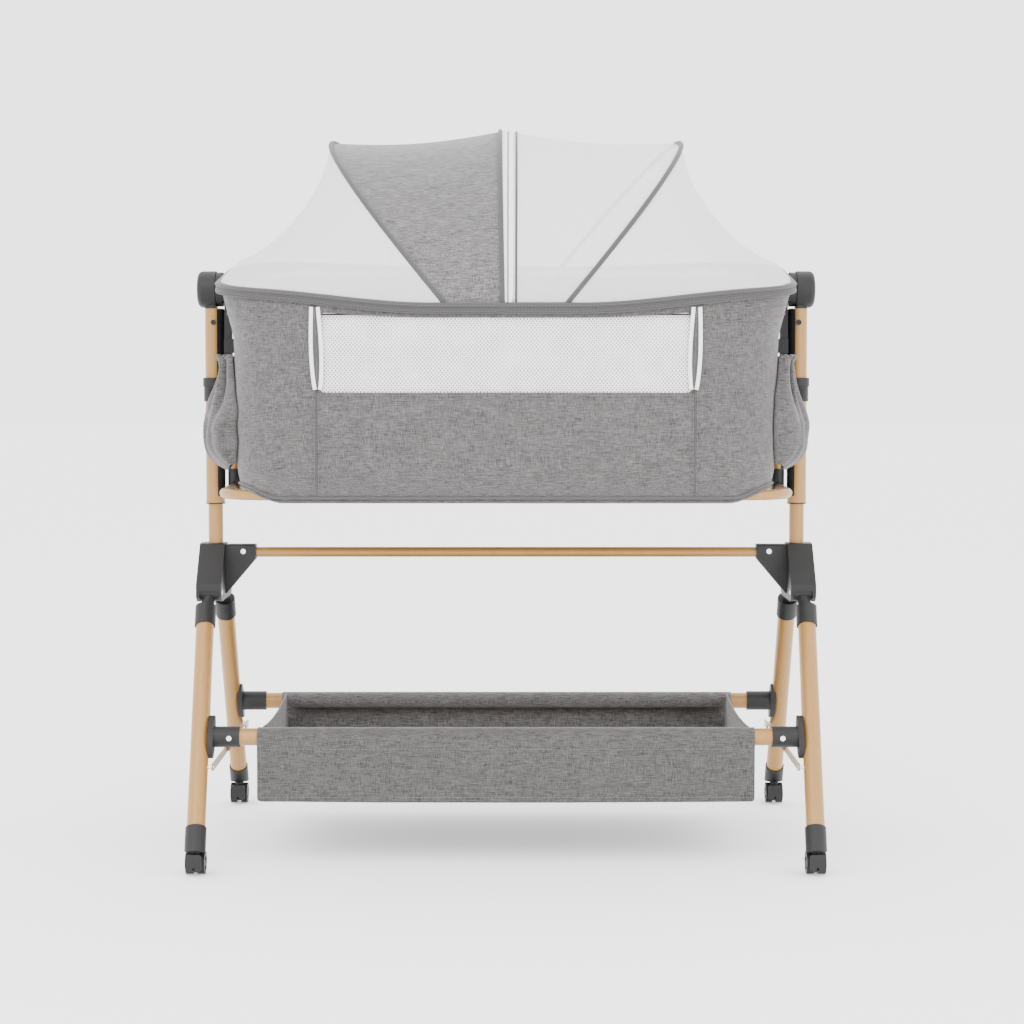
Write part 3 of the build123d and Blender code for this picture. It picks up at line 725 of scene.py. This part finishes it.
def make_canopy():
    right_side = mirrored(ARCH_SIDE)
    end = end_arches(32)
    canopy_sheet("net_end_left", end, NET_WHITE, "canopy_net_left", 1.0)
    shade = [blend_arch(ARCH_SIDE, ARCH_CENTRE, k / 14, 0.010) for k in range(15)]
    canopy_sheet("shade_cloth", shade, LINEN_SHADE, "canopy_shade")
    tape = [blend_arch(ARCH_CENTRE, ARCH_ZIP_EDGE, k / 3, 0) for k in range(4)]
    canopy_sheet("zip_tape", tape, WHITE_TAPE, "canopy_zip_strip")
    net = [blend_arch(ARCH_ZIP_EDGE, right_side, k / 14, 0.010) for k in range(15)]
    net += [mirrored(arch) for arch in reversed(end[:-1])]
    canopy_sheet("net_right", net, NET_WHITE, "canopy_net_right", 0.6)
    steps = [k / 60 for k in range(61)]
    for label, arch in (("left", ARCH_SIDE), ("centre", ARCH_CENTRE), ("right", right_side)):
        path = [arch_point(arch, t, 0.0008) for t in steps]
        sleeve = tube(f"hoop_sleeve_{label}", path, 0.0040, TRIM_GREY, "canopy", sides=10)
        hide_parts(f"hoop_{label}")
    trim = [arch_point(ARCH_TRIM, t, 0.0006) for t in steps]
    tube("zip_trim", trim, 0.0018, TRIM_GREY, "canopy", sides=6)
    teeth = [arch_point(ARCH_TEETH, t, 0.0006) for t in steps]
    tube("zip_teeth", teeth, 0.0009, HEM_GREY, "canopy", sides=6)


def rim_ring(out, lift):
    """Closed path round the hem, out from the rim and lifted from its plane."""
    half_length, half_width, corner = TUB[-1][1:]
    return [Vector((x, y, rim_z(y, x) + lift))
            for x, y in perimeter(half_length + out, half_width + out, corner + out)]


def make_hem():
    """Zip band round the rim: two cloth strips with the zip between, and a rounded lip above."""
    lower_strip = [(-0.0110, 0.0026), (-0.0075, 0.0042), (-0.0050, 0.0036)]
    zip_groove = [(-0.0042, 0.0026), (-0.0026, 0.0026)]
    upper_strip = [(-0.0018, 0.0036), (0.0010, 0.0044), (0.0032, 0.0038)]
    lip = [(0.0050, 0.0012), (0.0056, -0.0030), (0.0040, -0.0070)]
    levels = lower_strip + zip_groove + upper_strip + lip
    points = [p for lift, out in levels for p in rim_ring(out, lift)]
    faces = grid_faces(len(levels), COLUMNS, True)
    band = mesh_piece("hem_band", points, faces, HEM_GREY, "canopy")
    thicken(band, 0.0012)
    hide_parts("canopy_hem")
    for name, lift, radius in (("hem_zip", -0.0034, 0.0009), ("hem_edge", -0.0110, 0.0014)):
        tube(name, rim_ring(0.0034, lift), radius, TRIM_GREY, "canopy", sides=6, closed=True)
    rows = [rim_ring(0.0050, -0.0085), rim_ring(0.0054, 0.0012)]
    stitches("hem_stitches", rows, THREAD, "canopy", 0.0035, 0.002, 0.0005)


# ------------------------------------------------------------------ basket
BASKET_HALF = 0.398
END_WALL_ROWS, END_WALL_COLUMNS = 20, 28


def fold_basket(piece):
    """Give a piece of the basket its own copy of its mesh."""
    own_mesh(piece)


def make_basket_panel(end, way):
    """Panel wrapped over its cross tube and hanging outside the liner."""
    low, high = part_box(f"basket_{end}_panel")
    tube_low, tube_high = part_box(f"{end}_cross_tube")
    centre_y, centre_z = (tube_low.y + tube_high.y) / 2, (tube_low.z + tube_high.z) / 2
    radius = (tube_high.z - tube_low.z) / 2 + 0.001
    inner_side = [math.pi * k / 12 for k in range(3, 12)]
    outer_side = [math.pi * k / 12 for k in range(7)]
    outline = [(centre_y - way * radius * math.sin(a), centre_z - radius * math.cos(a)) for a in inner_side]
    outline += [(centre_y + way * radius * math.sin(a), centre_z + radius * math.cos(a)) for a in outer_side]
    wrapped = len(outline)
    drop = centre_z - low.z
    outline += [(centre_y + way * radius, centre_z - drop * k / 12) for k in range(1, 13)]
    columns = 70
    points = []
    for r, (y, z) in enumerate(outline):
        hang = max(0.0, (centre_z - z) / drop)
        for c in range(columns + 1):
            x = low.x + (high.x - low.x) * c / columns
            wave = 0.0022 * noise.noise(Vector((x * 7, z * 9, way * 3)))
            wave += 0.0009 * noise.noise(Vector((x * 24, z * 20, 5)))
            sag = 0.0018 * math.sin(math.pi * c / columns) * hang if r >= wrapped else 0.0
            points.append((x, y + way * (wave + 0.0006) * min(1, hang * 3), z - sag))
    # The rear panel, seen from inside the basket, takes the lighter copy of the basket linen: painted light
    # against the shade there.
    cloth = LINEN_BASKET if end == "front" else LINEN_BASKET_PAINTED_LIGHT
    faces = grid_faces(len(outline), columns + 1)
    panel = mesh_piece(f"basket_{end}_cloth", points, faces, cloth, f"{end}_frame")
    thicken(panel, 0.0018, 1, offset=0.0)
    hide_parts(f"basket_{end}_panel")
    face = centre_y + way * (radius + 0.0017)
    rows = [[Vector((side * 0.3985, face, 0.104 + 0.094 * k / 12)) for k in range(13)] for side in (-1, 1)]
    for z in (0.108, centre_z - 0.018):
        rows.append([Vector((BASKET_HALF * (k / 30 - 1), face, z)) for k in range(61)])
    stitches(f"basket_{end}_stitches", rows, THREAD, f"{end}_frame")


def make_basket_liner():
    """Floor and end walls, between the two panels."""
    low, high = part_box("basket_liner")
    half_x, half_y = BASKET_HALF, high.y - 0.001
    top_y, clear = 0.200, 0.003
    rows, columns = 24, 44
    points = []
    for r in range(rows + 1):
        y = -half_y + 2 * half_y * r / rows
        for c in range(columns + 1):
            x = -half_x + 2 * half_x * c / columns
            sag = 0.0015 * math.sin(math.pi * r / rows) * math.sin(math.pi * c / columns)
            unevenness = 0.0012 * noise.noise(Vector((x * 8, y * 8, 1)))
            points.append((x, y, low.z + 0.0035 - sag + unevenness))
    faces = grid_faces(rows + 1, columns + 1)
    # Lighter copy of the basket linen on the floor: painted light against the shade inside the basket.
    floor = mesh_piece("basket_floor", points, faces, LINEN_FLOOR_PAINTED_LIGHT, "stand")
    thicken(floor, 0.0018)
    pieces = [(floor, (0.80, 0.46))]
    for side, label in SIDES:
        wall = []
        for r in range(END_WALL_ROWS + 1):
            v = r / END_WALL_ROWS
            half = half_y + (top_y - half_y) * smoothstep(0.62, 0.76, v)
            for c in range(END_WALL_COLUMNS + 1):
                u = 2 * c / END_WALL_COLUMNS - 1
                z = low.z + clear + (high.z - low.z - clear) * v - 0.006 * (1 - u * u) * v
                bow = 0.0032 * (1 - u * u) * math.sin(math.pi * v * 0.8)
                wall.append((side * (half_x - 0.001 - bow), u * half, z))
        faces = grid_faces(END_WALL_ROWS + 1, END_WALL_COLUMNS + 1)
        # Lighter copy of the basket linen on the end walls: painted light against the shade inside the
        # basket.
        piece = mesh_piece(f"basket_end_{label}", wall, faces, LINEN_BASKET_PAINTED_LIGHT, "stand")
        thicken(piece, 0.0018, 1, offset=0.0)
        pieces.append((piece, (0.46, 0.12)))
        top = wall[-(END_WALL_COLUMNS + 1):]
        edge = tube(f"basket_edge_{label}", top, 0.0018, LINEN_BASKET, "stand", sides=6)
        fold_basket(edge)
    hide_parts("basket_liner")
    for piece, flat in pieces:
        fold_basket(piece)


# ------------------------------------------------------------------ stage
def look_at(obj, target):
    obj.rotation_euler = (Vector(target) - obj.location).to_track_quat("-Z", "Y").to_euler()


def area_light(name, place, target, size, watts):
    data = bpy.data.lights.new(name, "AREA")
    data.shape = "SQUARE"
    data.size = size
    data.energy = watts
    light = bpy.data.objects.new(name, data)
    light.location = place
    look_at(light, target)
    bpy.context.scene.collection.objects.link(light)


def make_stage():
    bpy.ops.mesh.primitive_plane_add(size=60, location=(0, 0, 0))
    floor = bpy.context.object
    floor.name = "floor"
    white = (1, 1, 1, 1)
    paper = Shader("paper_white", (0.93, 0.93, 0.935), 0.9)
    paper.surface.inputs["Emission Color"].default_value = white
    paper.surface.inputs["Emission Strength"].default_value = 0.4
    floor.data.materials.append(paper.material)
    world = bpy.data.worlds.new("studio")
    world.use_nodes = True
    background = world.node_tree.nodes["Background"]
    background.inputs["Color"].default_value = white
    background.inputs["Strength"].default_value = 3.0
    bpy.context.scene.world = world
    middle = (0, 0, 0.6)
    area_light("key", (-1.6, -3.4, 3.2), middle, 2.4, 75)
    area_light("fill", (2.6, -3.0, 1.6), middle, 2.4, 36)
    area_light("top", (0, 0.4, 3.6), middle, 2.6, 20)


def make_camera():
    data = bpy.data.cameras.new("camera")
    data.lens = 86.4
    data.sensor_width = 36.0
    data.clip_end = 200
    camera = bpy.data.objects.new("camera", data)
    camera.location = (0.010, -4.200, 0.809)
    camera.rotation_euler = (math.radians(90 - 3.4), 0, 0)
    bpy.context.scene.collection.objects.link(camera)
    bpy.context.scene.camera = camera


finish_cad_nodes()
make_body()
make_window()
make_zip_slits()
make_seams()
make_mattress()
pockets = [make_pocket(side, label) for side, label in SIDES]
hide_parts("side_pockets")
make_canopy()
make_hem()
for basket_end, basket_way in (("front", -1), ("rear", 1)):
    make_basket_panel(basket_end, basket_way)
make_basket_liner()
make_stage()
make_camera()
